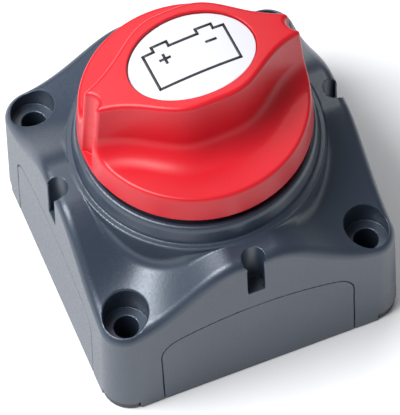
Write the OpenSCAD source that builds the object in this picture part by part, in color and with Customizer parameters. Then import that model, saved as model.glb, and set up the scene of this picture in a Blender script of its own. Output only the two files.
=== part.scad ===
/* [Base] */
// Side of the square base at its mounting face
base_w = 69; // [66:0.5:72]
// Corner radius of the base at its mounting face
base_corner_r = 6.5; // [6:0.25:7]
// Draft of the side walls, in degrees
wall_draft = 1.5; // [0.5:0.25:2]
// Thickness of the side walls at the mounting face
wall_t = 2.7; // [2.5:0.1:3]
// Height of the shoulder at the middle of each side
shoulder_z = 43; // [42.5:0.25:43.5]
// Height of the four low corners
corner_z = 29.4; // [28.5:0.25:31]
// Half width of the flat crown at the middle of each side
crown_half = 4; // [3:0.5:6]

/* [Mounting holes] */
// Distance between the mounting holes
hole_pitch = 55.4; // [55:0.1:56]
// Radius of the mounting holes
hole_r = 2.65; // [2.5:0.05:2.8]
// Radius of the screw head recesses
recess_r = 4.85; // [4.5:0.05:5]
// Height of the seat for the screw head
recess_z = 25; // [24.5:0.25:26]

/* [Interlock slots] */
// Radius of the round part of each slot
key_r = 2.5; // [2.3:0.1:2.6]
// Half width of each slot's mouth
key_mouth = 1.9; // [1.6:0.1:2.1]
// Depth of the slot's centre behind the wall
key_inset = 1.65; // [1.4:0.05:1.8]
// Height of the slot's floor
key_floor_z = 31; // [30.5:0.1:32]
// Thickness of the lips beside the slot's mouth
key_lip = 0.8; // [0.6:0.1:1]
// Depth of the round entry above the lips
key_entry = 1.7; // [1.2:0.1:2.4]

/* [Collar] */
// Radius of the round step under the collar
step_r = 27.9; // [27.6:0.1:28.2]
// Radius of the collar at its foot
collar_foot_r = 26.5; // [26.3:0.1:26.9]
// Radius of the collar near its top
collar_r = 26; // [25.8:0.1:26.2]
// Height of the collar's rim
collar_z = 48.2; // [47.9:0.1:48.6]

/* [Side covers] */
// Half width of each cable cover
cover_half = 22.4; // [21:0.2:23]
// Height of each cover at its middle
cover_z = 25.3; // [25:0.1:25.8]
// Radius of the covers' arched top edge
cover_arc_r = 67; // [60:1:80]
// Radius of the covers' top corners
cover_corner_r = 4; // [3:0.5:5]
// Gap around each cover
cover_gap = 0.28; // [0.2:0.02:0.4]

/* [Rear cover] */
// Thickness of the rear cover
rear_t = 2.2; // [2:0.1:2.4]
// Height of the wall between the terminals
barrier_z = 15; // [12:0.5:16]

/* [Knob] */
// Radius of the knob at its lower rim
knob_r = 25.35; // [25.2:0.05:25.5]
// Height of the knob's lower rim
knob_z = 50.7; // [50.4:0.1:51]
// Height of the top edge of the knob's skirt
skirt_z = 58; // [57.6:0.1:58.4]
// Height of the top of the grip, the overall height
top_z = 76; // [75.5:0.25:77]
// Half width of the grip at its middle
grip_half = 12.4; // [12:0.1:13]
// Half width that the grip would narrow to far beyond its ends
grip_end_half = 0.5; // [0.3:0.1:1]
// Distance from the middle at which the grip has narrowed by half
grip_waist = 15.1; // [14.8:0.1:15.5]
// Half length of the grip
grip_len = 23.2; // [23:0.1:23.6]
// Radius that the top of the grip is crowned to, along its length
crown_r = 90; // [85:5:120]
// Angle of the grip past the base's axis at OFF, in degrees
grip_lead = 2; // [0:0.5:3]
// Half length of the label
label_a = 13.9; // [13.5:0.1:14.2]
// Half width of the label
label_b = 9.9; // [9.6:0.1:10.2]
// Thickness of the label
label_t = 0.8; // [0.6:0.1:1]
// Depth of the label's face below the rim around it
label_drop = 0.6; // [0.4:0.1:0.8]

/* [Shaft] */
// Radius of the bore that the shaft turns in
bore_r = 9; // [8.8:0.1:9.2]
// Radial clearance between shaft and bore
shaft_clearance = 0.06; // [0.04:0.01:0.08]
// Width across the square drive
drive_w = 11; // [10.5:0.25:11.5]

/* [Terminals] */
// Distance from the axis to each terminal stud
stud_x = 16; // [15.8:0.1:16.2]
// Radius of the terminal studs
stud_r = 5; // [4.9:0.05:5]
// Width across flats of the terminal nuts
nut_af = 16; // [15.5:0.5:17]
// Height of the terminal nuts
nut_h = 6; // [5:0.5:6.5]

/* [Contacts] */
// Radius of the silver contact tips
tip_r = 4; // [3.6:0.1:4.2]
// Thickness of the silver contact tips
tip_t = 1.2; // [1:0.1:1.4]
// Half width of the contact bridge
bridge_half = 5; // [4.6:0.1:5]
// Half length of the contact bridge
bridge_len = 20; // [19.5:0.25:20.5]
// Thickness of the contact bridge
bridge_t = 3; // [2.6:0.1:3.2]

/* [Hidden] */
$fn = 96;

half = base_w / 2;
corner_c = half - base_corner_r;
hole_c = hole_pitch / 2;
draft_k = tan(wall_draft);
inner_half = half - wall_t;
shoulder_span = 24;

column_r = 5.2;

// Heights of the floors inside, from the mounting face up
carrier_t = 4;
roof_z = 23;
carrier_z = roof_z - carrier_t;
chamber_r = 22.8;
chamber_z = 44;
deck_z = 46.4;
neck_r = 21.6;
neck_z = 54;
bush_r = 12.5;
bush_z = 53;
collar_top_z = collar_z - 0.9;

// Contact heights
block_t = 4.4;
block_z = roof_z + block_t;
tip_z = block_z + tip_t;
air_gap = 0.1;
bridge_z = tip_z + air_gap + tip_t;
seat_t = 0.6;

// Rotor heights
cam_z = 38.6;
cam_t = 4.2;
cam_r = 20.5;
drive_z = 60;
groove_z = 48.4;
groove_r = 7.3;
seal_wire_r = 0.78;
washer_gap = 0.05;
washer_t = chamber_z - cam_z - cam_t - washer_gap;
spring_top_z = cam_z + 2.8;

// Detent and stops
detent_r = 1.5;
detent_y = cam_r + 0.35;
leaf_t = 0.5;
leaf_half = 9;
leaf_y = detent_y + 0.55;
stop_r = 16.5;
stop_pin_r = 1.6;
stop_margin = 6.6;
stop_floor_z = cam_z + 2.2;

// Hub of the knob
web_z = drive_z + 2.4;
hub_r = 10.6;
head_r = 4.4;
screw_r = 2.2;

// Hollow down each end of the grip, its lean, and the rim left under it
scoop_top_r = 1.9;
scoop_foot_r = 2.7;
scoop_lean = 5.7;
foot_rim = 0.7;

// Walls of the knob
skirt_wall = 3.2;
skirt_depth = 5.4;
grip_wall = 2.6;
grip_roof = 6;

// Terminal stack, from the carrier down
pad_t = 2.5;
pad_z = carrier_z - pad_t;
flat_t = 2;
flat_z = pad_z - flat_t;
lock_t = 2.4;
lock_z = flat_z - lock_t;
nut_z = lock_z - nut_h;
stud_end_z = rear_t + 0.8;

// Carrier fixings
carrier_half = 25.6;
fixing_c = 20.3;
fixing_r = 1.75;

// Smooth step from 0 to 1
function smooth(t) = let (u = max(0, min(1, t))) u * u * (3 - 2 * u);

// Height of the shoulder's outline at a distance from the middle of a side
function shoulder(d) =
  shoulder_z - (shoulder_z - corner_z) * smooth((abs(d) - crown_half) / shoulder_span);

// Half width of the grip at a distance along it
function grip_w(x) =
  grip_end_half + (grip_half - grip_end_half) / (1 + pow(abs(x) / grip_waist, 3.4));

// Point on the grip's outline, with the ends cut a little askew
function grip_point(x, y) = [x - 0.2 * y * pow(x / grip_len, 6), y];

// Outline of the grip, drawn in by an inset
function grip_outline(inset, steps = 40) = let (len = grip_len - inset) concat(
  [for (i = [0:steps]) let (x = -len + 2 * len * i / steps) grip_point(x, grip_w(x) - inset)],
  [for (i = [0:steps]) let (x = len - 2 * len * i / steps) grip_point(x, inset - grip_w(x))]);

// Oval with two half lengths
function oval(a, b, n = 72) = [for (i = [0:n - 1]) [a * cos(i * 360 / n), b * sin(i * 360 / n)]];

// Everything under the crowned top of the grip, lowered by a drop
module under_crown(drop = 0) {
  translate([0, 0, top_z - crown_r]) rotate([90, 0, 0])
    cylinder(r = crown_r - drop, h = 60, center = true, $fn = 360);
}

// Section of the base's side walls, drawn in by an inset
module wall_section(top, inset = 0) {
  w = half - inset;
  polygon([[-w, 0], [w, 0], [w - top * draft_k, top], [draft_k * top - w, top]]);
}

// Square block with drafted walls and round corners
module drafted_block(top, inset = 0) {
  r = base_corner_r - inset;
  translate([0, corner_c, 0]) rotate([90, 0, 0]) linear_extrude(2 * corner_c) wall_section(top, inset);
  translate([-corner_c, 0, 0]) rotate([90, 0, 90]) linear_extrude(2 * corner_c) wall_section(top, inset);
  for (x = [-1, 1], y = [-1, 1])
    translate([x * corner_c, y * corner_c, 0]) cylinder(r1 = r, r2 = r - top * draft_k, h = top);
}

// Shoulder outline extruded across the base
module shoulder_arch() {
  reach = half + 1;
  rotate([90, 0, 0]) translate([0, 0, -reach]) linear_extrude(2 * reach)
    polygon(concat([[reach, 0]],
      [for (i = [-36:36]) let (d = -i * reach / 36) [d, shoulder(d)]], [[-reach, 0]]));
}

// Square with round corners, centred
module round_square(w, r, h) {
  c = w / 2 - r;
  linear_extrude(h) {
    square([w, 2 * c], center = true);
    square([2 * c, w], center = true);
    for (x = [-1, 1], y = [-1, 1]) translate([x * c, y * c]) circle(r);
  }
}

// Opening in a side wall, drawn in by a gap
module cover_outline(gap) {
  w = cover_half - gap;
  z = cover_z - gap;
  r = cover_corner_r;
  knee_z = z - 2.6;
  intersection() {
    translate([0, z - cover_arc_r]) circle(cover_arc_r, $fn = 240);
    union() {
      translate([-w, -1]) square([2 * w, knee_z - r + 1]);
      translate([r - w, -1]) square([2 * (w - r), z + 2]);
      for (x = [-1, 1]) translate([x * (w - r), knee_z - r]) circle(r);
    }
  }
}

// Keyhole slot at the front wall, open at its top
module keyhole() {
  face = half - key_floor_z * draft_k;
  y = face - key_inset;
  translate([0, -y, shoulder_z - key_entry]) cylinder(r = key_r, h = 10);
  intersection() {
    translate([0, -y, key_floor_z]) cylinder(r = key_r, h = 20);
    translate([-key_r - 1, key_lip - face, key_floor_z - 1]) cube([2 * key_r + 2, 10, 22]);
  }
  translate([-key_mouth, -y - 6, key_floor_z]) cube([2 * key_mouth, 6, 20]);
}

// One cable cover, in the front wall
module side_cover() {
  intersection() {
    drafted_block(roof_z + 4, 0.12);
    translate([0, -inner_half, 0]) rotate([90, 0, 0])
      linear_extrude(8) cover_outline(cover_gap);
    translate([-half, -half - 1, 0]) cube([base_w, half, 40]);
  }
  tab_w = cover_half + 0.8;
  translate([-cover_half + 0.4, -inner_half - 0.5, rear_t + 0.2]) cube([2 * cover_half - 0.8, 1.8, 17]);
  translate([-tab_w, -inner_half, rear_t + 0.2]) cube([2 * tab_w, 1.3, 17]);
}

module housing() {
  color("#68707c") {
    housing_shell();
    // Pin that stops the rotor at each end of its turn
    translate([stop_r, 0, stop_floor_z + 0.4]) cylinder(r = stop_pin_r, h = chamber_z - stop_floor_z - 0.2);
  }
}

// The moulding without its stop pin
module housing_shell() {
  difference() {
    union() {
      intersection() {
        drafted_block(shoulder_z + 0.5);
        union() {
          shoulder_arch();
          rotate([0, 0, 90]) shoulder_arch();
        }
      }
      translate([0, 0, roof_z + 1]) cylinder(r = step_r, h = shoulder_z - roof_z - 1);
      translate([0, 0, shoulder_z - 1]) {
        cylinder(r1 = collar_foot_r, r2 = collar_r, h = collar_top_z - shoulder_z + 1);
      }
      translate([0, 0, collar_top_z - 0.01])
        cylinder(r1 = collar_r, r2 = collar_r - 0.6, h = collar_z - collar_top_z + 0.01);
      translate([0, 0, deck_z - 1]) cylinder(r = neck_r, h = neck_z - deck_z + 1);
    }
    // Wiring cavity, with a column kept at each corner
    difference() {
      translate([0, 0, -1]) round_square(2 * inner_half, 4, roof_z + 1);
      for (x = [-1, 1], y = [-1, 1])
        translate([x * hole_c, y * hole_c, rear_t]) cylinder(r = column_r, h = roof_z + 3);
    }
    // Seat for the rear cover's corners
    for (x = [-1, 1], y = [-1, 1])
      translate([x * (corner_c + 5) - 5, y * (corner_c + 5) - 5, -1]) cube([10, 10, rear_t + 1]);
    // Mechanism chamber and the deck above it
    translate([0, 0, roof_z - 1]) cylinder(r = chamber_r, h = chamber_z - roof_z + 1);
    translate([0, 0, chamber_z - 1]) cylinder(r = bore_r, h = 20);
    translate([0, 0, deck_z]) rotate_extrude()
      polygon([[neck_r, 0], [collar_r - 2, 0], [collar_r - 1.8, 5], [neck_r, 5]]);
    translate([0, 0, deck_z]) rotate_extrude()
      polygon([[bush_r, 0], [neck_r - 2, 0], [neck_r - 2, 10], [bush_r, 10]]);
    translate([0, 0, bush_z]) cylinder(r = bush_r + 0.5, h = 5);
    // Mounting holes and screw head recesses
    for (x = [-1, 1], y = [-1, 1]) translate([x * hole_c, y * hole_c, 0]) {
      translate([0, 0, -1]) cylinder(r = hole_r, h = 50);
      translate([0, 0, recess_z]) cylinder(r = recess_r, h = 20);
    }
    // Cable openings and interlock slots in the four sides
    for (a = [0:90:270]) rotate([0, 0, a]) {
      translate([0, -inner_half + 1, 0]) rotate([90, 0, 0]) linear_extrude(10) cover_outline(0);
      keyhole();
      // Seat for the ends of a detent spring
      if (a == 0 || a == 180) for (s = [-1, 1])
        translate([s * 8.35 - 1.45, -leaf_y - 0.4, cam_z - 0.2]) cube([2.9, 1.2, cam_t + 0.4]);
    }
    // Holes for the carrier's screws, and the gasket's groove
    for (x = [-1, 1], y = [-1, 1])
      translate([x * fixing_c, y * fixing_c, roof_z - 1]) cylinder(r = fixing_r + 0.05, h = 8.5);
    translate([0, 0, roof_z - 0.01]) rotate_extrude()
      polygon([[23.4, 0], [25, 0], [25, 1], [23.4, 1]]);
  }
}

module rear_cover() {
  color("#22252b") difference() {
    union() {
      round_square(2 * inner_half - 0.4, 4, rear_t);
      for (a = [0:90:270]) rotate([0, 0, a]) intersection() {
        translate([corner_c, corner_c, 0]) cylinder(r = base_corner_r - 0.3, h = rear_t);
        translate([corner_c + 0.1, corner_c + 0.1, 0]) cube([10, 10, rear_t]);
      }
      for (x = [-1, 1], y = [-1, 1])
        translate([x * hole_c, y * hole_c, 0]) cylinder(r = column_r - 1.4, h = rear_t);
      translate([-1, -26, 0]) cube([2, 52, barrier_z]);
    }
    for (x = [-1, 1], y = [-1, 1])
      translate([x * hole_c, y * hole_c, -1]) cylinder(r = hole_r, h = rear_t + 2);
  }
}

module front_side_cover() {
  color("#68707c") side_cover();
}

module right_side_cover() {
  color("#68707c") rotate([0, 0, 90]) side_cover();
}

module back_side_cover() {
  color("#68707c") rotate([0, 0, 180]) side_cover();
}

module left_side_cover() {
  color("#68707c") rotate([0, 0, 270]) side_cover();
}

module contact_carrier() {
  color("#3a3d42") difference() {
    union() {
      translate([0, 0, carrier_z]) round_square(2 * carrier_half, 4, carrier_t);
      // Pads that the bridge's tips park over
      for (y = [-1, 1]) translate([0, y * stud_x, roof_z]) cylinder(r = 4.6, h = tip_z - roof_z);
    }
    for (x = [-1, 1]) translate([x * stud_x, 0, carrier_z - 1]) cylinder(r = stud_r + 0.1, h = 8);
    for (x = [-1, 1], y = [-1, 1]) {
      translate([x * fixing_c, y * fixing_c, carrier_z - 1]) cylinder(r = fixing_r + 0.25, h = 8);
      translate([x * hole_c, y * hole_c, carrier_z - 1]) cylinder(r = column_r + 0.2, h = 8);
    }
  }
}

module carrier_screws() {
  color("#b8bcc2") for (x = [-1, 1], y = [-1, 1]) translate([x * fixing_c, y * fixing_c, 0]) {
    translate([0, 0, carrier_z]) cylinder(r = fixing_r, h = 11);
    difference() {
      translate([0, 0, carrier_z - 2.2]) cylinder(r = 3.3, h = 2.2);
      for (a = [0, 90]) rotate([0, 0, a])
        translate([-2.2, -0.4, carrier_z - 2.7]) cube([4.4, 0.8, 1.7]);
    }
  }
}

module chamber_gasket() {
  color("#1b1b1d") translate([0, 0, roof_z]) rotate_extrude()
    polygon([[23.5, 0], [24.9, 0], [24.9, 0.9], [23.5, 0.9]]);
}

// Copper block at +X, between the carrier and its silver tip
module contact_block() {
  translate([0, 0, roof_z]) difference() {
    intersection() {
      translate([stud_x - 6, -7, 0]) cube([12, 14, block_t]);
      cylinder(r = chamber_r - 0.6, h = block_t);
    }
    translate([stud_x, 0, -1]) cylinder(r = 4.05, h = 10);
  }
}

module input_contact() {
  color("#b87333") mirror([1, 0, 0]) contact_block();
}

module output_contact() {
  color("#b87333") contact_block();
}

module contact_tips() {
  color("#d6d9dc") for (x = [-1, 1])
    translate([x * stud_x, 0, block_z]) cylinder(r = tip_r, h = tip_t);
}

// Terminal stud: spigot in the block, seat for a cable lug, thread
module stud() {
  translate([0, 0, roof_z]) cylinder(r = 4, h = block_t);
  translate([0, 0, carrier_z]) cylinder(r = stud_r, h = carrier_t);
  translate([0, 0, pad_z]) cylinder(r = 8.5, h = pad_t);
  translate([0, 0, stud_end_z + 0.8]) cylinder(r = stud_r, h = pad_z - stud_end_z - 0.8);
  translate([0, 0, stud_end_z]) cylinder(r1 = stud_r - 0.8, r2 = stud_r, h = 0.8);
}

module input_stud() {
  color("#c9a24a") translate([-stud_x, 0, 0]) stud();
}

module output_stud() {
  color("#c9a24a") translate([stud_x, 0, 0]) stud();
}

module terminal_nuts() {
  color("#b8bcc2") for (x = [-1, 1]) translate([x * stud_x, 0, nut_z]) difference() {
    rotate([0, 0, 30]) cylinder(r = nut_af / sqrt(3), h = nut_h, $fn = 6);
    translate([0, 0, -1]) cylinder(r = stud_r + 0.05, h = nut_h + 2);
  }
}

module lock_washers() {
  color("#b8bcc2") for (x = [-1, 1]) translate([x * stud_x, 0, lock_z]) {
    rotate_extrude(angle = 345)
      polygon([[stud_r + 0.1, 0], [8, 0], [8, lock_t], [stud_r + 0.1, lock_t]]);
  }
}

module flat_washers() {
  color("#b8bcc2") for (x = [-1, 1]) translate([x * stud_x, 0, flat_z]) difference() {
    cylinder(r = 10, h = flat_t);
    translate([0, 0, -1]) cylinder(r = stud_r + 0.25, h = flat_t + 2);
  }
}

// Leaf springs on both sides of the cam, each with a bead that sits in a notch
module detent_springs() {
  color("#c4c8cc") for (s = [-1, 1]) translate([0, s * leaf_y, cam_z]) {
    translate([-leaf_half - 0.6, -leaf_t / 2, 0.2]) cube([2 * leaf_half + 1.2, leaf_t, cam_t - 0.4]);
    translate([0, -s * 0.55, 0.2]) cylinder(r = detent_r, h = cam_t - 0.4);
  }
}

module thrust_washer() {
  color("#e6e2d8") translate([0, 0, chamber_z - washer_t]) difference() {
    cylinder(r = 13, h = washer_t);
    translate([0, 0, -1]) cylinder(r = bore_r + 0.2, h = washer_t + 2);
  }
}

module rotor() {
  color("#e8e4da") difference() {
    union() {
      rotate([0, 0, grip_lead])
        translate([-drive_w / 2, -drive_w / 2, bush_z]) cube([drive_w, drive_w, drive_z - bush_z]);
      translate([0, 0, cam_z + cam_t - 0.5])
        cylinder(r = bore_r - shaft_clearance, h = bush_z + 0.3 - cam_z - cam_t + 0.5);
      translate([0, 0, cam_z]) cylinder(r = cam_r, h = cam_t);
      // Jaws beside the bridge
      for (x = [-1, 1])
        translate([x * (bridge_half + 1.6) - 1.4, -9, bridge_z + 0.3]) cube([2.8, 18, cam_z - bridge_z]);
    }
    // Curved groove that the housing's stop pin runs in
    translate([0, 0, stop_floor_z]) rotate([0, 0, -stop_margin]) rotate_extrude(angle = 90 + 2 * stop_margin)
      polygon([[stop_r - 1.9, 0], [stop_r + 1.9, 0], [stop_r + 1.9, 5], [stop_r - 1.9, 5]]);
    // Seal groove
    translate([0, 0, groove_z - 1]) rotate_extrude()
      polygon([[groove_r, 0], [12, 0], [12, 2], [groove_r, 2]]);
    // Pocket for the contact spring
    translate([0, 0, cam_z - 1]) cylinder(r = 6.2, h = spring_top_z - cam_z + 1);
    // Notches that the detent springs sit in
    for (a = [0:90:270]) rotate([0, 0, a])
      translate([0, detent_y, cam_z - 1]) cylinder(r = detent_r + 0.15, h = cam_t + 2);
    translate([0, 0, 47]) cylinder(r = screw_r + 0.05, h = 20);
  }
}

module shaft_seal() {
  color("#1b1b1d") translate([0, 0, groove_z]) rotate_extrude()
    translate([groove_r + 0.04 + seal_wire_r, 0]) circle(seal_wire_r, $fn = 24);
}

module contact_bridge() {
  color("#b87333") translate([-bridge_half, -bridge_len, bridge_z])
    cube([2 * bridge_half, 2 * bridge_len, bridge_t]);
}

module bridge_tips() {
  color("#d6d9dc") for (y = [-1, 1])
    translate([0, y * stud_x, bridge_z - tip_t]) cylinder(r = tip_r, h = tip_t);
}

// Points of one section of the spring's wire
function wire_ring(a, z, r, w) =
  [for (i = [0:7]) let (b = i * 45) [(r + w * cos(b)) * cos(a), (r + w * cos(b)) * sin(a), z + w * sin(b)]];

// Helical spring between two heights
module coil(r, w, low, high, turns) {
  n = round(turns * 16);
  rise = high - low - 2 * w;
  points = [for (k = [0:n]) each wire_ring(k * 22.5, low + w + rise * k / n, r, w)];
  sides = [for (k = [0:n - 1], i = [0:7]) let (j = (i + 1) % 8)
    [8 * k + i, 8 * k + j, 8 * k + 8 + j, 8 * k + 8 + i]];
  ends = [[for (i = [0:7]) 7 - i], [for (i = [0:7]) 8 * n + i]];
  polyhedron(points, concat(sides, ends), convexity = 8);
}

module contact_spring() {
  color("#c4c8cc") coil(4.4, 0.55, bridge_z + bridge_t + seat_t, spring_top_z, 4.5);
}

module spring_seat() {
  color("#b8bcc2") translate([0, 0, bridge_z + bridge_t]) difference() {
    cylinder(r = 5, h = seat_t);
    translate([0, 0, -1]) cylinder(r = 2, h = 3);
  }
}

module knob() {
  color("#e0202c") rotate([0, 0, grip_lead]) difference() {
    union() {
      rotate_extrude() polygon([[0, knob_z + 2], [knob_r - 0.8, knob_z], [knob_r - 0.2, knob_z],
        [knob_r, knob_z + 0.4], [knob_r - 0.6, skirt_z - 0.5], [knob_r - 1, skirt_z],
        [14, skirt_z + 1.2], [0, skirt_z + 2]]);
      intersection() {
        translate([0, 0, skirt_z - 1]) linear_extrude(top_z - skirt_z + 1) polygon(grip_outline(0));
        under_crown();
      }
    }
    // Hollow underside, round the hub
    difference() {
      union() {
        translate([0, 0, knob_z - 1]) cylinder(r = knob_r - skirt_wall, h = skirt_depth + 1);
        translate([0, 0, knob_z]) linear_extrude(top_z - knob_z - grip_roof)
          polygon(grip_outline(grip_wall));
      }
      cylinder(r = hub_r, h = top_z);
    }
    translate([0, 0, knob_z - 1]) cylinder(r = hub_r + 2.4, h = bush_z - knob_z + 1.4);
    // Square socket, screw hole and head recess
    translate([-drive_w / 2 - 0.05, -drive_w / 2 - 0.05, knob_z])
      cube([drive_w + 0.1, drive_w + 0.1, drive_z - knob_z]);
    translate([0, 0, drive_z - 1]) cylinder(r = screw_r + 0.1, h = 6);
    translate([0, 0, web_z]) cylinder(r = head_r + 0.8, h = 20);
    // Seat for the label
    difference() {
      translate([0, 0, top_z - 3]) linear_extrude(5) polygon(oval(label_a + 0.15, label_b + 0.15));
      under_crown(label_t + label_drop);
    }
    // Hollows down both ends of the grip
    for (a = [0, 180]) rotate([0, 0, a]) {
      intersection() {
        translate([knob_r + 0.5, 0, knob_z]) rotate([0, -scoop_lean, 0])
          cylinder(r1 = scoop_foot_r, r2 = scoop_top_r, h = top_z - knob_z + 1);
        translate([grip_len - 8, -8, knob_z + foot_rim]) cube([16, 16, 40]);
      }
    }
  }
}

module knob_screw() {
  color("#b8bcc2") difference() {
    union() {
      translate([0, 0, 47.5]) cylinder(r = screw_r, h = web_z + 1 - 47.5);
      translate([0, 0, web_z + 1]) cylinder(r = head_r - 0.4, h = 3);
    }
    for (a = [0, 90]) rotate([0, 0, a]) translate([-2.6, -0.5, web_z + 2.6]) cube([5.2, 1, 3]);
  }
}

module knob_washer() {
  color("#b8bcc2") translate([0, 0, web_z]) difference() {
    cylinder(r = head_r + 0.4, h = 1);
    translate([0, 0, -1]) cylinder(r = screw_r + 0.15, h = 3);
  }
}

module knob_label() {
  color("#f4f5f7") rotate([0, 0, grip_lead]) difference() {
    intersection() {
      translate([0, 0, top_z - 3]) linear_extrude(5) polygon(oval(label_a, label_b));
      under_crown(label_drop);
    }
    under_crown(label_drop + label_t);
  }
}

housing();
rear_cover();
front_side_cover();
right_side_cover();
back_side_cover();
left_side_cover();
contact_carrier();
carrier_screws();
chamber_gasket();
input_contact();
output_contact();
contact_tips();
input_stud();
output_stud();
terminal_nuts();
lock_washers();
flat_washers();
detent_springs();
thrust_washer();
rotor();
shaft_seal();
contact_bridge();
bridge_tips();
contact_spring();
spring_seat();
knob();
knob_screw();
knob_washer();
knob_label();
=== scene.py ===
"""Looks of the battery master switch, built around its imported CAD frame.

Lengths in the shape functions are in mm. The frame and the scene are in metres.
"""
import math

import bpy
import numpy as np
from mathutils import Matrix, Vector


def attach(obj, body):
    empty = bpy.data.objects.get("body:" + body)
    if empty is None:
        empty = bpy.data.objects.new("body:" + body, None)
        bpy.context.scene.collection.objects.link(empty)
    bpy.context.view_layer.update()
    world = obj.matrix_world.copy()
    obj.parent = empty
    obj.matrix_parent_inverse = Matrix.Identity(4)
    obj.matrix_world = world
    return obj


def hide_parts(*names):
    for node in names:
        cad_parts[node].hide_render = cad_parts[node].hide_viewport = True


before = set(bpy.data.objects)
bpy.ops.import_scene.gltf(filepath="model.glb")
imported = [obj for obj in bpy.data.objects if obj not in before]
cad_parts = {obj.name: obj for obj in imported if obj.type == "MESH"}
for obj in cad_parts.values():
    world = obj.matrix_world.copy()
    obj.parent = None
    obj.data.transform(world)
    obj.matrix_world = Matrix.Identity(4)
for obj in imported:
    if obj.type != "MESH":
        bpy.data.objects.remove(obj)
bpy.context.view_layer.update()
MM = 0.001
BASE, TURN = "switch_base", "knob_assembly"

# ---------------------------------------------------------------- sizes that part.scad sets, in mm
CORNER_C, CORNER_R = 28.0, 6.5
DRAFT = math.tan(math.radians(1.5))
INNER, ROOF_Z = 31.8, 23.0
CREST_Z, LOW_Z, CREST_HALF, CREST_SPAN = 43.0, 29.0, 4.0, 24.0
HOLE_C, HOLE_R, RECESS_R, RECESS_Z, COLUMN_R = 27.7, 2.65, 4.85, 25.0, 5.2
# Interlock slots: round entry, mouth, centre, floor, and the lips' back face and top
KEY_R, KEY_MOUTH, KEY_Y, KEY_Z, KEY_LIP_Y, KEY_LIP_Z = 2.5, 1.9, 32.04, 31.0, 32.9, 41.3
STEP_R, STEP_Z, COLLAR_FOOT_R, COLLAR_R, COLLAR_Z = 27.9, 43.2, 26.5, 26.0, 48.2
DECK_Z, NECK_R, NECK_Z, BUSH_R, BUSH_Z, BORE_R = 46.4, 21.6, 54.0, 12.5, 53.0, 9.0
CHAMBER_R, CHAMBER_Z = 22.8, 44.0
# Pilot holes for the carrier's screws, gasket groove, and detent spring seats, inside the housing
PILOT_C, PILOT_R, PILOT_Z = 20.3, 1.85, 30.6
GASKET_R, GASKET_HALF, GASKET_Z = 24.2, 0.8, 24
SEAT_X, SEAT_Y, SEAT_Z, SEAT_HALF = 8.35, 21.2, 40.7, (1.5, 0.65, 2.4)
# Cable covers: half width, top, arc, corner, visible gap, and the tab that holds each one
COVER_HALF, COVER_Z, COVER_ARC, COVER_CORNER, COVER_GAP = 22.4, 25.3, 67.0, 4.0, 0.13
TAB_Z, TAB_HALF_Z, TAB_Y, TAB_HALF_Y = 10.9, 8.5, 31.15, 0.65
REAR_T, BARRIER_Y, BARRIER_Z = 2.2, 26, 15
# Knob: skirt, grip, the hollows at the grip's ends, and the inside round the hub
KNOB_R, KNOB_Z, SKIRT_Z, TOP_Z = 25.35, 50.7, 58.0, 76.0
GRIP_LEN, GRIP_LEAN, CROWN_R, GRIP_LEAD = 22.9, 0.1, 90.0, math.radians(2)
SKIRT_DRAFT, DISH_RISE, FLANK_DRAFT, GRIP_FILLET = 0.085, 0.09, 0.03, 5.0
SCOOP_R, SCOOP_FLARE, SCOOP_OUT, SCOOP_WALL, FOOT_RIM = 1.9, 0.032, 0.5, 0.5, 0.7
SKIRT_WALL, SKIRT_DEPTH, GRIP_WALL, GRIP_HOLLOW_Z = 3.2, 5.4, 2.6, 69
HUB_R, HUB_Z, DRIVE_HALF, DRIVE_Z, SCREW_R, SCREW_Z, HEAD_R, HEAD_Z = 10.6, 53.4, 5.55, 60, 2.3, 64, 5.2, 62.4
LABEL_A, LABEL_B, LABEL_T, LABEL_DROP = 13.9, 9.9, 0.8, 0.6


# ---------------------------------------------------------------- shape functions: below 0 inside
def round_max(a, b, r):
    """Intersection with its edge rounded to radius r."""
    return np.minimum(-r, np.maximum(a, b)) + np.hypot(np.maximum(r + a, 0), np.maximum(r + b, 0))


def round_min(a, b, r):
    """Union with its inner corner filled to radius r."""
    return -round_max(-a, -b, r)


def smooth(t):
    t = np.clip(t, 0, 1)
    return t * t * (3 - 2 * t)


def disc(x, y, cx, cy, r):
    """Distance past a circle of radius r about (cx, cy)."""
    return np.hypot(x - cx, y - cy) - r


def round_square(x, y, half, r):
    qx, qy = x - (half - r), y - (half - r)
    return np.hypot(np.maximum(qx, 0), np.maximum(qy, 0)) + np.minimum(np.maximum(qx, qy), 0) - r


def crest(x, y):
    """Height of the shoulder: crowned at the middle of each side, low at the corners."""
    x, y = np.maximum(x, 0.5), np.maximum(y, 0.5)
    m = (x**-4.0 + y**-4.0) ** -0.25
    return CREST_Z - (CREST_Z - LOW_Z) * smooth((m - CREST_HALF) / CREST_SPAN)


def cover_outline(x, z, gap):
    """Outline of a cable opening: arched, with rounded top corners, drawn in by a gap."""
    arc = np.hypot(x, z - (COVER_Z - COVER_ARC)) - COVER_ARC
    return round_max(x - COVER_HALF, arc, COVER_CORNER) + gap


def block(x, y, z):
    """The drafted side walls."""
    r = CORNER_R - z * DRAFT
    return round_square(x, y, CORNER_C + r, r)


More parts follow.
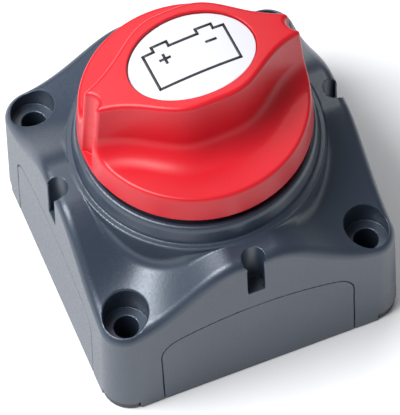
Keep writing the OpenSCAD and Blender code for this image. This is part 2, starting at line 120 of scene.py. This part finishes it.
def housing(x, y, z):
    x, y = np.abs(x), np.abs(y)
    rad = np.hypot(x, y)
    s, e = crest(x, y), 0.05
    slope = np.hypot((crest(x + e, y) - s) / e, (crest(x, y + e) - s) / e)
    shell = round_max(block(x, y, z), (z - s) / np.sqrt(1 + slope**2), 2.2)
    shell = round_max(shell, -z, 0.3)
    step = round_max(rad - STEP_R, z - STEP_Z, 0.4)
    foot = 1.8 * np.clip((STEP_Z - s) / 4, 0.06, 1)
    body = round_min(shell, step, foot)
    lean = (COLLAR_FOOT_R - COLLAR_R) / 4
    collar = round_max(rad - COLLAR_FOOT_R + lean * (z - STEP_Z), z - COLLAR_Z, 0.2)
    lip = ((rad - COLLAR_R + 0.6) * 0.9 + (z - COLLAR_Z) * 0.6) / 1.08
    body = round_min(body, round_max(collar, lip, 0.3), 0.3)
    well = np.maximum(np.maximum(NECK_R - rad, rad - (COLLAR_R - 1.7)), DECK_Z - z)
    body = round_max(body, -well, 0.3)
    body = np.minimum(body, np.maximum(rad - NECK_R, z - NECK_Z))
    neck_well = np.maximum(np.maximum(BUSH_R - rad, rad - (NECK_R - 2)), DECK_Z - z)
    body = np.maximum(body, -np.minimum(neck_well, np.maximum(rad - BUSH_R - 0.5, BUSH_Z - z)))
    # Interlock slots, with softened edges
    for u, v in ((x, y), (y, x)):
        entry = np.maximum(disc(u, v, 0, KEY_Y, KEY_R), np.minimum(v - KEY_LIP_Y, KEY_LIP_Z - z))
        mouth = np.maximum(u - KEY_MOUTH, KEY_Y - v)
        body = round_max(body, -np.maximum(np.minimum(entry, mouth), KEY_Z - z), 0.12)
    # Mounting holes
    recess = np.maximum(disc(x, y, HOLE_C, HOLE_C, RECESS_R), RECESS_Z - z)
    body = round_max(body, -recess, 0.4)
    body = round_max(body, -disc(x, y, HOLE_C, HOLE_C, HOLE_R), 0.25)
    # Cable openings and the seat for the rear cover's corners
    for u, v in ((x, y), (y, x)):
        opening = np.maximum(cover_outline(u, z, 0), INNER - 1 - v)
        body = round_max(body, -opening, 0.2)
    body = round_max(body, -np.maximum(np.maximum(CORNER_C - x, CORNER_C - y), z - REAR_T), 0.2)
    # Wiring cavity, mechanism chamber, bore, and the seats in them
    column = np.maximum(disc(x, y, HOLE_C, HOLE_C, COLUMN_R), REAR_T - z)
    cavity = np.maximum(np.maximum(round_square(x, y, INNER, 4), z - ROOF_Z), -column)
    chamber = np.maximum(rad - CHAMBER_R, z - CHAMBER_Z)
    screws = np.maximum(disc(x, y, PILOT_C, PILOT_C, PILOT_R), z - PILOT_Z)
    gasket = np.maximum(np.abs(rad - GASKET_R) - GASKET_HALF, z - GASKET_Z)
    seats = np.maximum(np.abs(x - SEAT_X) - SEAT_HALF[0], np.abs(y - SEAT_Y) - SEAT_HALF[1])
    seats = np.maximum(seats, np.abs(z - SEAT_Z) - SEAT_HALF[2])
    hollow = cavity
    for other in (chamber, rad - BORE_R, screws, gasket, seats):
        hollow = np.minimum(hollow, other)
    return np.maximum(body, -hollow)


def side_cover(x, y, z):
    """The cover in the front wall; y is taken towards the outside."""
    x = np.abs(x)
    panel = round_max(cover_outline(x, z, COVER_GAP), block(x, y, z) + 0.04, 0.2)
    panel = np.maximum(round_max(panel, -z, 0.3), INNER - y)
    tab = np.maximum(x - COVER_HALF - 0.8, np.abs(z - TAB_Z) - TAB_HALF_Z)
    tab = np.maximum(tab, np.abs(y - TAB_Y) - TAB_HALF_Y)
    return np.minimum(panel, tab)


def rear_cover(x, y, z):
    x, y = np.abs(x), np.abs(y)
    plate = round_square(x, y, INNER - 0.2, 4)
    lobe = disc(x, y, CORNER_C, CORNER_C, CORNER_R - 0.3)
    lobe = np.maximum(lobe, np.maximum(CORNER_C + 0.1 - x, CORNER_C + 0.1 - y))
    plate = np.minimum(np.minimum(plate, lobe), disc(x, y, HOLE_C, HOLE_C, COLUMN_R - 1.4))
    plate = round_max(round_max(plate, z - REAR_T, 0.3), -z, 0.3)
    wall = np.maximum(np.maximum(x - 1, y - BARRIER_Y), np.maximum(z - BARRIER_Z, 0.5 - z))
    return round_max(round_min(plate, wall, 0.6), -disc(x, y, HOLE_C, HOLE_C, HOLE_R), 0.25)


def grip_w(x):
    """Half width of the grip at a distance from the knob's axis."""
    return 0.5 + 11.9 / (1 + (x / 15.1) ** 3.4)


def top_face(x):
    """Height of the grip's crowned top."""
    return TOP_Z - x * x / (2 * CROWN_R)


def oval(x, y, a, b):
    k0 = np.hypot(x / a, y / b)
    return k0 * (k0 - 1) / np.maximum(np.hypot(x / a**2, y / b**2), 1e-6)


def knob(x, y, z):
    askew = 0.2 * np.sign(x) * y
    x, y = np.abs(x), np.abs(y)
    rad = np.hypot(x, y)
    side = rad - KNOB_R + (z - KNOB_Z) * SKIRT_DRAFT
    dish = SKIRT_Z + np.clip(KNOB_R - rad, 0, 30) * DISH_RISE
    body = round_max(side, z - dish, 0.9)
    low = TOP_Z - z
    w, e = grip_w(x), 0.05
    flank = (y - w - low * FLANK_DRAFT) / np.sqrt(1 + ((grip_w(x + e) - w) / e) ** 2)
    reach = GRIP_LEN + low * GRIP_LEAN
    grip = round_max(flank, x + askew - reach, 0.5)
    scoop = disc(x + askew, y, reach + SCOOP_OUT, 0, SCOOP_R + low * SCOOP_FLARE)
    scoop = np.maximum(scoop, KNOB_Z + FOOT_RIM - z)
    grip = round_max(round_max(grip, -scoop, 0.3), z - top_face(x), 1.0)
    body = round_max(round_min(body, grip, GRIP_FILLET), side, 0.45)
    body = round_max(body, -scoop, 0.3)
    body = round_max(body, KNOB_Z - z, 0.3)
    seat = np.maximum(oval(x, y, LABEL_A + 0.15, LABEL_B + 0.15), top_face(x) - LABEL_T - LABEL_DROP - z)
    body = round_max(body, -seat, 0.35)
    # Hollow underside round the hub
    under = np.maximum(rad - KNOB_R + SKIRT_WALL, z - KNOB_Z - SKIRT_DEPTH)
    inside = np.maximum(y - w + GRIP_WALL, x - GRIP_LEN + GRIP_WALL)
    under = np.minimum(under, np.maximum(inside, z - GRIP_HOLLOW_Z))
    hollow = np.maximum(np.maximum(under, SCOOP_WALL - scoop), -np.maximum(rad - HUB_R, HUB_Z - z))
    socket = np.maximum(np.maximum(x, y) - DRIVE_HALF, z - DRIVE_Z)
    hollow = np.minimum(hollow, np.minimum(socket, np.maximum(rad - SCREW_R, z - SCREW_Z)))
    hollow = np.minimum(hollow, np.maximum(rad - HEAD_R, HEAD_Z - z))
    return np.maximum(body, -hollow)


def label(x, y, z):
    x, y = np.abs(x), np.abs(y)
    top = top_face(x) - LABEL_DROP
    return round_max(round_max(oval(x, y, LABEL_A, LABEL_B), z - top, 0.15), top - LABEL_T - z, 0.1)


# ---------------------------------------------------------------- meshing
def gradient(f, p, e=0.02):
    g = np.empty_like(p)
    for k in range(3):
        d = np.zeros(3)
        d[k] = e
        g[:, k] = (f(*(p + d).T) - f(*(p - d).T)) / (2 * e)
    return g


def settle(f, p, h, rounds=3):
    """Moves points onto the surface where f is 0, by at most half a cell a round."""
    for _ in range(rounds):
        g = gradient(f, p)
        size = np.maximum((g * g).sum(1), 0.2)
        step = np.clip(f(*p.T) / size, -0.5 * h, 0.5 * h)
        p = p - g * step[:, None]
    return p


def samples(f, axes, h):
    """f on a grid, worked out in full only near its surface."""
    n = [len(a) for a in axes]
    b = 8
    m = [-(-k // b) for k in n]
    centres = [a[0] + (np.arange(k) * b + (b - 1) / 2) * h for a, k in zip(axes, m)]
    cx, cy, cz = np.meshgrid(*centres, indexing="ij")
    rough = f(cx, cy, cz)
    near = np.abs(rough) < 1.45 * b * h
    grow = lambda a: a.repeat(b, 0).repeat(b, 1).repeat(b, 2)[: n[0], : n[1], : n[2]]
    values = grow(np.sign(rough).astype(np.float32) * 99)
    i, j, k = np.nonzero(grow(near))
    values[i, j, k] = f(axes[0][i], axes[1][j], axes[2][k])
    return values


CORNERS = [(i, j, k) for i in (0, 1) for j in (0, 1) for k in (0, 1)]
EDGES = [(a, b) for a in range(8) for b in range(a + 1, 8)
         if sum(abs(CORNERS[a][k] - CORNERS[b][k]) for k in range(3)) == 1]


def surface(f, low, high, h, mirror):
    """Closed quad surface of f = 0 in a box. On a mirrored axis the box starts at the mirror plane."""
    axes = []
    for k in range(3):
        start = -h / 2 if mirror[k] else low[k] - h
        axes.append(start + h * np.arange(int((high[k] + 1.5 * h - start) / h) + 1))
    v = samples(f, axes, h)
    inside = v < 0
    n = [s - 1 for s in v.shape]
    cut = lambda a, c: a[c[0]:n[0] + c[0], c[1]:n[1] + c[1], c[2]:n[2] + c[2]]
    count = sum(cut(inside, c).astype(np.int8) for c in CORNERS)
    cells = np.nonzero((count > 0) & (count < 8))
    ids = np.full(n, -1, np.int64)
    ids[cells] = np.arange(len(cells[0]))
    cell = np.stack(cells, 1)
    vals = np.stack([v[tuple((cell + c).T)] for c in CORNERS], 1)
    total, hits = np.zeros((len(cell), 3)), np.zeros(len(cell))
    for a, b in EDGES:
        va, vb = vals[:, a], vals[:, b]
        t = np.where((va < 0) != (vb < 0), va / np.where(va == vb, 1, va - vb), np.nan)
        ok = ~np.isnan(t)
        pa, pb = np.array(CORNERS[a], float), np.array(CORNERS[b], float)
        total[ok] += pa + (pb - pa) * t[ok, None]
        hits[ok] += 1
    p = np.array([axes[k][0] for k in range(3)]) + h * (cell + total / hits[:, None])
    flat = [mirror[k] & (cell[:, k] == 0) for k in range(3)]
    for k in range(3):
        p[flat[k], k] = 0
    p = settle(f, p, h)
    for k in range(3):
        p[flat[k], k] = 0
    quads = []
    for k in range(3):
        u, w = (k + 1) % 3, (k + 2) % 3
        a = inside[tuple(slice(0, n[q]) if q == k else slice(1, n[q]) for q in range(3))]
        b = inside[tuple(slice(1, n[q] + 1) if q == k else slice(1, n[q]) for q in range(3))]
        at = np.stack(np.nonzero(a != b), 1)
        out = a[tuple(at.T)]
        at[:, u] += 1
        at[:, w] += 1
        eu, ew = np.eye(3, dtype=int)[u], np.eye(3, dtype=int)[w]
        ring = np.stack([ids[tuple((at - d).T)] for d in (eu + ew, ew, 0 * eu, eu)], 1)
        ring = np.where(out[:, None], ring, ring[:, ::-1])
        quads.append(ring)
    quads = np.concatenate(quads)
    for k in range(3):
        if mirror[k]:
            on = p[:, k] == 0
            twin = np.where(on, np.arange(len(p)), len(p) + np.cumsum(~on) - 1)
            other = p[~on].copy()
            other[:, k] *= -1
            keep = ~on[quads].all(1)
            quads = np.concatenate([quads[keep], twin[quads[keep]][:, ::-1]])
            p = np.concatenate([p, other])
    return p, quads


def add_mesh(name, points, faces):
    me = bpy.data.meshes.new(name)
    me.vertices.add(len(points))
    me.vertices.foreach_set("co", np.asarray(points, np.float32).ravel())
    me.loops.add(faces.size)
    me.loops.foreach_set("vertex_index", faces.astype(np.int32).ravel())
    me.polygons.add(len(faces))
    me.polygons.foreach_set("loop_start", np.arange(0, faces.size, faces.shape[1], dtype=np.int32))
    me.update(calc_edges=True)
    me.validate()
    ob = bpy.data.objects.new(name, me)
    bpy.context.scene.collection.objects.link(ob)
    return ob


def coords(me):
    p = np.empty(len(me.vertices) * 3, np.float32)
    me.vertices.foreach_get("co", p)
    return p.reshape(-1, 3).astype(float)


def build(name, f, low, high, h, mirror=(True, True, False), keep=0.4):
    """A piece from its shape function: meshed finely, thinned where flat, and shaded by the true surface."""
    p, quads = surface(f, low, high, h, mirror)
    ob = add_mesh(name, p, quads)
    if keep < 1:
        mod = ob.modifiers.new("thin", "DECIMATE")
        mod.ratio = keep
        dg = bpy.context.evaluated_depsgraph_get()
        me = bpy.data.meshes.new_from_object(ob.evaluated_get(dg), depsgraph=dg)
        ob.modifiers.clear()
        ob.data = me
    me = ob.data
    p = settle(f, coords(me), h, 2)
    me.vertices.foreach_set("co", (p * MM).astype(np.float32).ravel())
    me.polygons.foreach_set("use_smooth", np.ones(len(me.polygons), bool))
    # Each face corner takes the true surface's direction a little way into its face, so that edges stay crisp
    corner = np.empty(len(me.loops), np.int32)
    me.loops.foreach_get("vertex_index", corner)
    size = np.empty(len(me.polygons), np.int32)
    me.polygons.foreach_get("loop_total", size)
    face = np.repeat(np.arange(len(size)), size)
    middle = np.stack([np.bincount(face, p[corner, k]) for k in range(3)], 1) / size[:, None]
    normals = gradient(f, p[corner] + 0.35 * (middle[face] - p[corner]))
    normals /= np.maximum(np.linalg.norm(normals, axis=1), 1e-9)[:, None]
    me.normals_split_custom_set(normals.tolist())
    me.update()
    return ob


# ---------------------------------------------------------------- materials
def new_material(name):
    mat = bpy.data.materials.new(name)
    mat.use_nodes = True
    nt = mat.node_tree
    return mat, nt, nt.nodes["Principled BSDF"]


def noise(nt, scale, detail=2.0, rough=0.5):
    """Object-space noise; scale is in features per metre."""
    co = nt.nodes.new("ShaderNodeTexCoord")
    n = nt.nodes.new("ShaderNodeTexNoise")
    n.inputs["Scale"].default_value = scale
    n.inputs["Detail"].default_value = detail
    n.inputs["Roughness"].default_value = rough
    nt.links.new(co.outputs["Object"], n.inputs["Vector"])
    return n.outputs["Fac"]


def spread(nt, value, low, high, a=0.3, b=0.7):
    """Maps a value from the range a to b onto the range low to high."""
    m = nt.nodes.new("ShaderNodeMapRange")
    for k, x in zip(("From Min", "From Max", "To Min", "To Max"), (a, b, low, high)):
        m.inputs[k].default_value = x
    nt.links.new(value, m.inputs["Value"])
    return m.outputs["Result"]


def tint(nt, value, dark, light):
    """A colour between dark and light."""
    r = nt.nodes.new("ShaderNodeValToRGB")
    r.color_ramp.elements[0].position = 0.3
    r.color_ramp.elements[1].position = 0.7
    r.color_ramp.elements[0].color = (*dark, 1)
    r.color_ramp.elements[1].color = (*light, 1)
    nt.links.new(value, r.inputs["Fac"])
    return r.outputs["Color"]


def bump(nt, value, height, strength, under=None):
    b = nt.nodes.new("ShaderNodeBump")
    b.inputs["Distance"].default_value = height
    b.inputs["Strength"].default_value = strength
    nt.links.new(value, b.inputs["Height"])
    if under is not None:
        nt.links.new(under, b.inputs["Normal"])
    return b.outputs["Normal"]


def where_level(nt, value):
    """The value on surfaces that face up, fading to a third of it on upright walls."""
    co = nt.nodes.new("ShaderNodeTexCoord")
    split = nt.nodes.new("ShaderNodeSeparateXYZ")
    nt.links.new(co.outputs["Normal"], split.inputs["Vector"])
    times = nt.nodes.new("ShaderNodeMath")
    times.operation = "MULTIPLY"
    nt.links.new(value, times.inputs[0])
    nt.links.new(spread(nt, split.outputs["Z"], 0.33, 1.0, 0.1, 0.5), times.inputs[1])
    return times.outputs["Value"]


def moulded(name, dark, light, rough, grain=2600, grain_mm=0.02, grain_strength=0.5, spec=0.5,
            glaze=(1, 1, 1), grain_on_top=False):
    """Injection-moulded plastic: fine grain, slow flow marks, uneven gloss."""
    mat, nt, bsdf = new_material(name)
    flow = noise(nt, 60, 3.0)
    fine = noise(nt, grain, 3.0, 0.6)
    bsdf.inputs["Specular IOR Level"].default_value = spec
    bsdf.inputs["Specular Tint"].default_value = (*glaze, 1)
    nt.links.new(tint(nt, flow, dark, light), bsdf.inputs["Base Color"])
    nt.links.new(spread(nt, fine, *rough), bsdf.inputs["Roughness"])
    if grain_on_top:
        fine = where_level(nt, fine)
    n = bump(nt, flow, 0.05 * MM, 0.25)
    nt.links.new(bump(nt, fine, grain_mm * MM, grain_strength, n), bsdf.inputs["Normal"])
    return mat


def metal(name, dark, light, rough, scale=(1, 1, 30)):
    """Bare metal with drawn or turned marks and uneven tarnish."""
    mat, nt, bsdf = new_material(name)
    co = nt.nodes.new("ShaderNodeTexCoord")
    sq = nt.nodes.new("ShaderNodeMapping")
    sq.inputs["Scale"].default_value = scale
    n = nt.nodes.new("ShaderNodeTexNoise")
    n.inputs["Scale"].default_value = 120
    n.inputs["Detail"].default_value = 4
    nt.links.new(co.outputs["Object"], sq.inputs["Vector"])
    nt.links.new(sq.outputs["Vector"], n.inputs["Vector"])
    bsdf.inputs["Metallic"].default_value = 1.0
    nt.links.new(tint(nt, noise(nt, 90, 3), dark, light), bsdf.inputs["Base Color"])
    nt.links.new(spread(nt, n.outputs["Fac"], *rough), bsdf.inputs["Roughness"])
    nt.links.new(bump(nt, n.outputs["Fac"], 0.01 * MM, 0.4), bsdf.inputs["Normal"])
    return mat


grey = moulded("slate_moulding", (0.020, 0.030, 0.051), (0.025, 0.037, 0.060), (0.31, 0.44), grain=2100,
               grain_mm=0.035, grain_strength=0.9, spec=0.9, glaze=(0.86, 0.93, 1.0), grain_on_top=True)
black = moulded("black_moulding", (0.012, 0.013, 0.016), (0.018, 0.02, 0.024), (0.4, 0.55))
red = moulded("red_moulding", (0.56, 0.006, 0.014), (0.62, 0.010, 0.021), (0.29, 0.38), grain=2400,
              grain_mm=0.014, grain_strength=0.4, spec=0.4)
white = moulded("white_insert", (0.605, 0.61, 0.65), (0.625, 0.63, 0.67), (0.30, 0.36), grain_strength=0.08)
ink = moulded("label_ink", (0.018, 0.019, 0.022), (0.026, 0.027, 0.03), (0.35, 0.45), grain_strength=0.1)
natural = moulded("natural_moulding", (0.70, 0.67, 0.60), (0.78, 0.75, 0.68), (0.4, 0.5))
rubber = moulded("seal_rubber", (0.010, 0.010, 0.011), (0.02, 0.02, 0.021), (0.6, 0.75))
copper = metal("bare_copper", (0.60, 0.28, 0.15), (0.80, 0.42, 0.26), (0.22, 0.42))
tin = metal("tinned_metal", (0.58, 0.57, 0.54), (0.72, 0.71, 0.68), (0.25, 0.42))
silver = metal("silver_contact", (0.78, 0.78, 0.76), (0.88, 0.87, 0.85), (0.15, 0.3))
steel = metal("stainless_steel", (0.50, 0.50, 0.51), (0.62, 0.62, 0.63), (0.22, 0.4))
spring = metal("spring_steel", (0.42, 0.42, 0.45), (0.55, 0.55, 0.57), (0.25, 0.4), scale=(30, 1, 1))

NODE_LOOKS = {
    black: ["contact_carrier"],
    steel: ["carrier_screws", "terminal_nuts", "lock_washers", "flat_washers", "spring_seat", "knob_screw",
            "knob_washer"],
    rubber: ["chamber_gasket", "shaft_seal"],
    copper: ["input_contact", "output_contact", "contact_bridge"],
    silver: ["contact_tips", "bridge_tips"],
    tin: ["input_stud", "output_stud"],
    spring: ["detent_springs", "contact_spring"],
    natural: ["thrust_washer", "rotor"],
}
for mat, names in NODE_LOOKS.items():
    for node in names:
        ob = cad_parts[node]
        for slot in ob.material_slots:
            slot.material = mat


def finish_piece(ob, mat, body, slot, *nodes):
    ob.data.materials.clear()
    ob.data.materials.append(mat)
    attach(ob, body)
    if nodes:
        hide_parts(*nodes)
    return ob


# ---------------------------------------------------------------- base
shell = build("housing_shell", housing, (0, 0, 0), (35, 35, 54.5), 0.36)
finish_piece(shell, grey, BASE, "body_plastic", "housing")
plate = build("rear_plate", rear_cover, (0, 0, 0), (35, 35, 15.5), 0.4)
finish_piece(plate, black, BASE, "dark_plastic", "rear_cover")

front = build("front_cable_cover", lambda x, y, z: side_cover(x, -y, z), (0, -35, 0), (25, -30, 26), 0.3,
              (True, False, False))
finish_piece(front, grey, BASE, "body_plastic", "front_side_cover")
for side, turn in (("right", 90), ("back", 180), ("left", 270)):
    ob = bpy.data.objects.new(side + "_cable_cover", front.data.copy())
    bpy.context.scene.collection.objects.link(ob)
    ob.data.transform(Matrix.Rotation(math.radians(turn), 4, "Z"))
    finish_piece(ob, grey, BASE, "body_plastic", side + "_side_cover")

# ---------------------------------------------------------------- knob
handle = build("grip_knob", knob, (-26, -26, KNOB_Z), (26, 26, 76.5), 0.33, (False, False, False))
handle.data.transform(Matrix.Rotation(GRIP_LEAD, 4, "Z"))
finish_piece(handle, red, TURN, "red_plastic", "knob")
insert = build("label_insert", label, (0, 0, 73.5), (14.2, 10.2, 75.6), 0.25, keep=0.3)
insert.data.transform(Matrix.Rotation(GRIP_LEAD, 4, "Z"))
finish_piece(insert, white, TURN, "label_plastic", "knob_label")

# Print on the label: a battery outline with plus and minus signs, set a little askew
PRINT_T, PRINT_TURN = 0.025, math.radians(3.2)
W, H, LINE, SIGN = 18.4, 8.8, 0.60, 2.6


def line(a, b, width=LINE):
    """Outline of a straight stroke: two rails of (x, y) points."""
    a, b = np.array(a, float), np.array(b, float)
    along = (b - a) / np.linalg.norm(b - a)
    out = np.array([-along[1], along[0]]) * width / 2
    return (a - out, b - out), (a + out, b + out)


def loop(points):
    """Strokes along a closed path, with mitred corners."""
    n, rails = len(points), []
    for i in range(n):
        a, b, c = (np.array(points[(i + k) % n], float) for k in (-1, 0, 1))
        u, v = (b - a) / np.linalg.norm(b - a), (c - b) / np.linalg.norm(c - b)
        nu, nv = np.array([-u[1], u[0]]), np.array([-v[1], v[0]])
        mitre = (nu + nv) / (1 + nu @ nv) * LINE / 2
        rails.append((b - mitre, b + mitre))
    return [((rails[i - 1][0], rails[i][0]), (rails[i - 1][1], rails[i][1])) for i in range(n)]


def printed(strokes, name, mat):
    """Thin raised print that follows the label's crown."""
    points, faces = [], []
    for low_rail, high_rail in strokes:
        n = max(1, round(np.linalg.norm(low_rail[1] - low_rail[0]) / 1.2))
        first = len(points)
        for i in range(n + 1):
            ring = [rail[0] + (rail[1] - rail[0]) * i / n for rail in (low_rail, high_rail)]
            for lift in (-0.01, PRINT_T):
                points += [(x, y, top_face(x) - LABEL_DROP + lift) for x, y in ring]
        faces.append((first, first + 2, first + 3, first + 1))
        for i in range(n):
            a, b = first + 4 * i, first + 4 * i + 4
            faces += [(a, b, b + 2, a + 2), (a + 3, b + 3, b + 1, a + 1),
                      (a + 2, b + 2, b + 3, a + 3), (a + 1, b + 1, b, a)]
        faces.append((b, b + 1, b + 3, b + 2))
    ob = add_mesh(name, np.array(points) * MM, np.array(faces))
    ob.data.transform(Matrix.Rotation(PRINT_TURN, 4, "Z"))
    return finish_piece(ob, mat, TURN, "dark_plastic")


x0, y0, rise = -W / 2, -H / 2, 1.2
top = y0 + H
case = [(x0, y0), (x0 + W, y0), (x0 + W, top), (x0 + 0.873 * W, top), (x0 + 0.873 * W, top + rise),
        (x0 + 0.68 * W, top + rise), (x0 + 0.68 * W, top), (x0 + 0.32 * W, top), (x0 + 0.32 * W, top + rise),
        (x0 + 0.133 * W, top + rise), (x0 + 0.133 * W, top), (x0, top)]
sign_y = y0 + 0.71 * H
plus_x, minus_x, half = x0 + 0.215 * W, x0 + 0.785 * W, SIGN / 2
marks = loop(case)
marks.append(line((minus_x - half, sign_y), (minus_x + half, sign_y)))
marks.append(line((plus_x - half, sign_y), (plus_x + half, sign_y)))
for up_down in (-1, 1):
    marks.append(line((plus_x, sign_y + up_down * LINE / 2), (plus_x, sign_y + up_down * half)))
printed(marks, "label_print", ink)

# ---------------------------------------------------------------- stage, camera, light
bpy.ops.mesh.primitive_plane_add(size=6, location=(0, 0, -0.0001))
floor = bpy.context.object
floor.name = "floor"
floor_mat, nt, bsdf = new_material("pale_floor")
bsdf.inputs["Base Color"].default_value = (0.93, 0.93, 0.94, 1)
bsdf.inputs["Roughness"].default_value = 0.9
floor.data.materials.append(floor_mat)

AZ, EL, ROLL = (math.radians(a) for a in (-19.41, 59.64, -2.98))
DIST, FOCAL_PX = 0.9153, 4286.8
aim = Vector((-4.19, -12.06, 35.0)) * MM
back = Vector((math.sin(AZ) * math.cos(EL), -math.cos(AZ) * math.cos(EL), math.sin(EL)))
side = Vector((math.cos(AZ), math.sin(AZ), 0))
up = back.cross(side)
right = side * math.cos(ROLL) + up * math.sin(ROLL)
over = up * math.cos(ROLL) - side * math.sin(ROLL)
cam = bpy.data.objects.new("camera", bpy.data.cameras.new("camera"))
bpy.context.scene.collection.objects.link(cam)
m = Matrix((right, over, back)).transposed().to_4x4()
m.translation = aim + back * DIST
cam.matrix_world = m
cam.data.sensor_fit = "AUTO"
cam.data.sensor_width = 36
cam.data.lens = FOCAL_PX * 36 / 415
cam.data.clip_start, cam.data.clip_end = 0.01, 20
bpy.context.scene.camera = cam


def lamp(name, at, target, size, power, colour=(1, 1, 1)):
    data = bpy.data.lights.new(name, "AREA")
    data.shape, data.size, data.size_y = "RECTANGLE", size[0], size[1]
    data.energy, data.color = power, colour
    ob = bpy.data.objects.new(name, data)
    bpy.context.scene.collection.objects.link(ob)
    ob.location = at
    ob.rotation_euler = (Vector(target) - Vector(at)).to_track_quat("-Z", "Y").to_euler()
    return ob


middle = (0, 0, 0.04)
lamp("key", (-0.62, 0.05, 0.95), middle, (0.7, 0.7), 19, (0.98, 0.99, 1.0))
lamp("back", (0.15, 0.65, 0.95), middle, (1.0, 0.6), 3.8)

world = bpy.data.worlds.new("studio")
bpy.context.scene.world = world
world.use_nodes = True
sky = world.node_tree.nodes["Background"]
sky.inputs["Color"].default_value = (0.95, 0.97, 1.0, 1)
sky.inputs["Strength"].default_value = 0.22
bpy.context.scene.view_settings.view_transform = "Standard"
